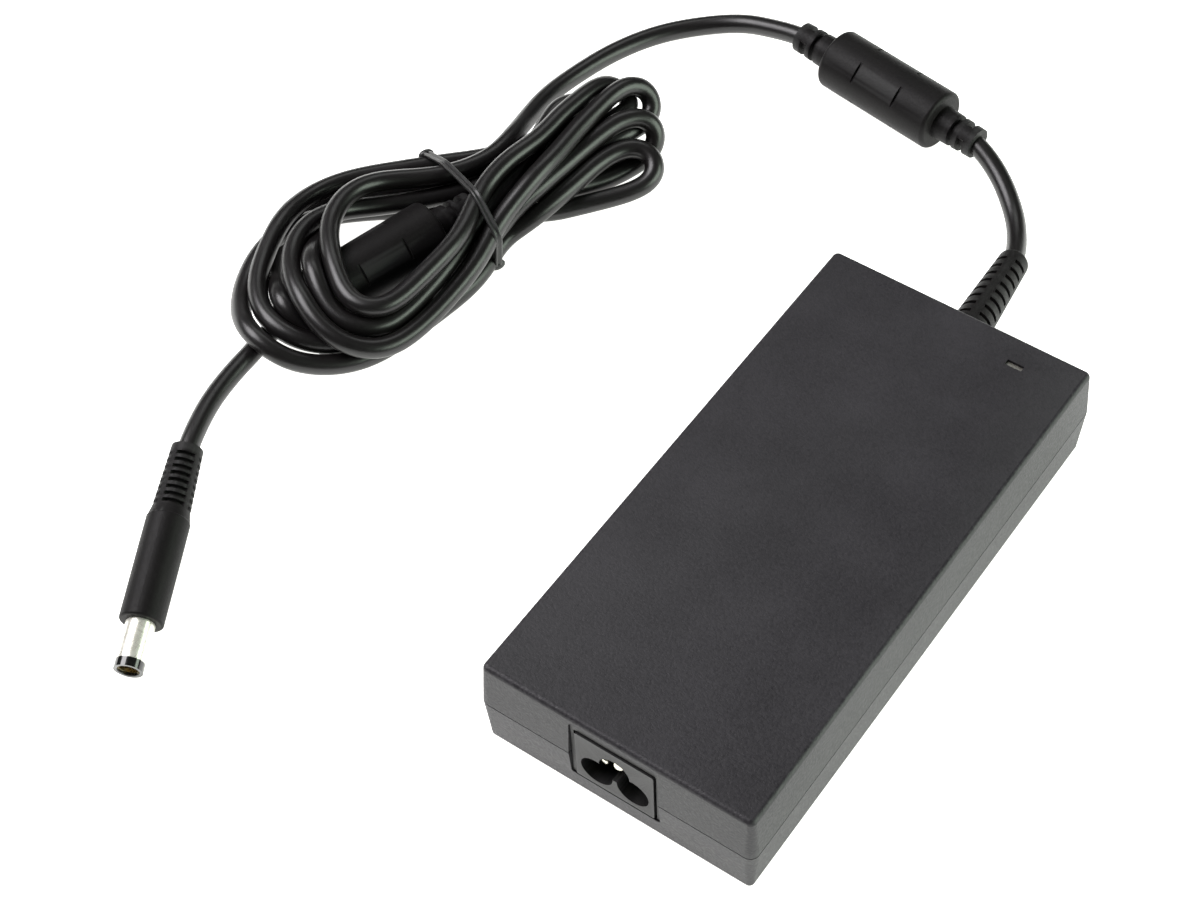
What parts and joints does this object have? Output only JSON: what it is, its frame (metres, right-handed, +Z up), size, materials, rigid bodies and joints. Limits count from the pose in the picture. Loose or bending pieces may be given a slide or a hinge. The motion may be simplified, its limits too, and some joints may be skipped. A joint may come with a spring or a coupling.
{
  "type": "laptop power adapter",
  "caption": "Flat black power brick with a recessed three-lobe AC inlet and a fixed DC cord wound in a tied hank, with ferrite sleeves and a round barrel plug.",
  "frame": {"origin": "centre of the case's underside, on the surface it stands on", "axes": "+Z up; +Y along the case towards the end that the cord leaves, the inlet faces -Y; +X across the case"},
  "size_m": [0.2209, 0.2787, 0.029],
  "materials": {
    "case_plastic": "fine-grain moulded polycarbonate",
    "inlet_plastic": "moulded, satin",
    "pin_metal": "nickel-plated brass",
    "window_clear": "clear light guide",
    "lamp_lens": "clear",
    "plate_film": "blank polyester film",
    "board_laminate": "solder-masked glass laminate",
    "sheet_fibre": "insulating fibre sheet",
    "shield_metal": "rolled",
    "sink_metal": "mill finish",
    "package_black": "moulded epoxy",
    "fuse_body": "ceramic with end caps",
    "capacitor_box": "moulded box",
    "capacitor_sleeve": "shrink sleeve",
    "ferrite": "sintered ferrite",
    "copper_wire": "enamelled copper",
    "bobbin_plastic": "moulded phenolic",
    "wire_insulation": "extruded",
    "cord_jacket": "extruded PVC jacket, satin",
    "overmould": "moulded PVC, fine grain",
    "tie_rubber": "soft moulded band",
    "barrel_metal": "nickel plated",
    "contact_metal": "spring brass",
    "tip_plastic": "moulded insulator"
  },
  "bodies": {
    "root": {"top_cover": "case_plastic", "bottom_cover": "case_plastic", "rating_plate": "plate_film", "indicator_window": "window_clear", "indicator_lamp": "lamp_lens", "inlet_housing": "inlet_plastic", "line_pin": "pin_metal", "neutral_pin": "pin_metal", "earth_pin": "pin_metal", "circuit_board": "board_laminate", "insulation_sheet": "sheet_fibre", "lower_shield": "shield_metal", "upper_shield": "shield_metal", "fuse": "fuse_body", "suppression_capacitor": "capacitor_box", "line_choke_core": "ferrite", "line_choke_winding": "copper_wire", "bridge_rectifier": "package_black", "boost_choke_core": "ferrite", "boost_choke_winding": "copper_wire", "bulk_capacitor": "capacitor_sleeve", "primary_heat_sink": "sink_metal", "power_transistors": "package_black", "transformer_core": "ferrite", "transformer_bobbin": "bobbin_plastic", "transformer_winding": "copper_wire", "secondary_heat_sink": "sink_metal", "output_rectifiers": "package_black", "output_capacitors": "capacitor_sleeve", "control_chips": "package_black", "inlet_wires": "wire_insulation", "output_wires": "wire_insulation", "strain_relief": "overmould", "cord_lead": "cord_jacket", "ferrite_sleeve_1": "overmould", "ferrite_core_1": "ferrite", "cord_run": "cord_jacket", "cord_hank": "cord_jacket", "hank_tie": "tie_rubber", "ferrite_sleeve_2": "overmould", "ferrite_core_2": "ferrite", "cord_tail": "cord_jacket", "plug_overmould": "overmould", "plug_barrel": "barrel_metal", "barrel_insulator": "tip_plastic", "inner_contact": "contact_metal", "contact_holder": "tip_plastic", "centre_pin": "contact_metal"}
  },
  "joints": []
}
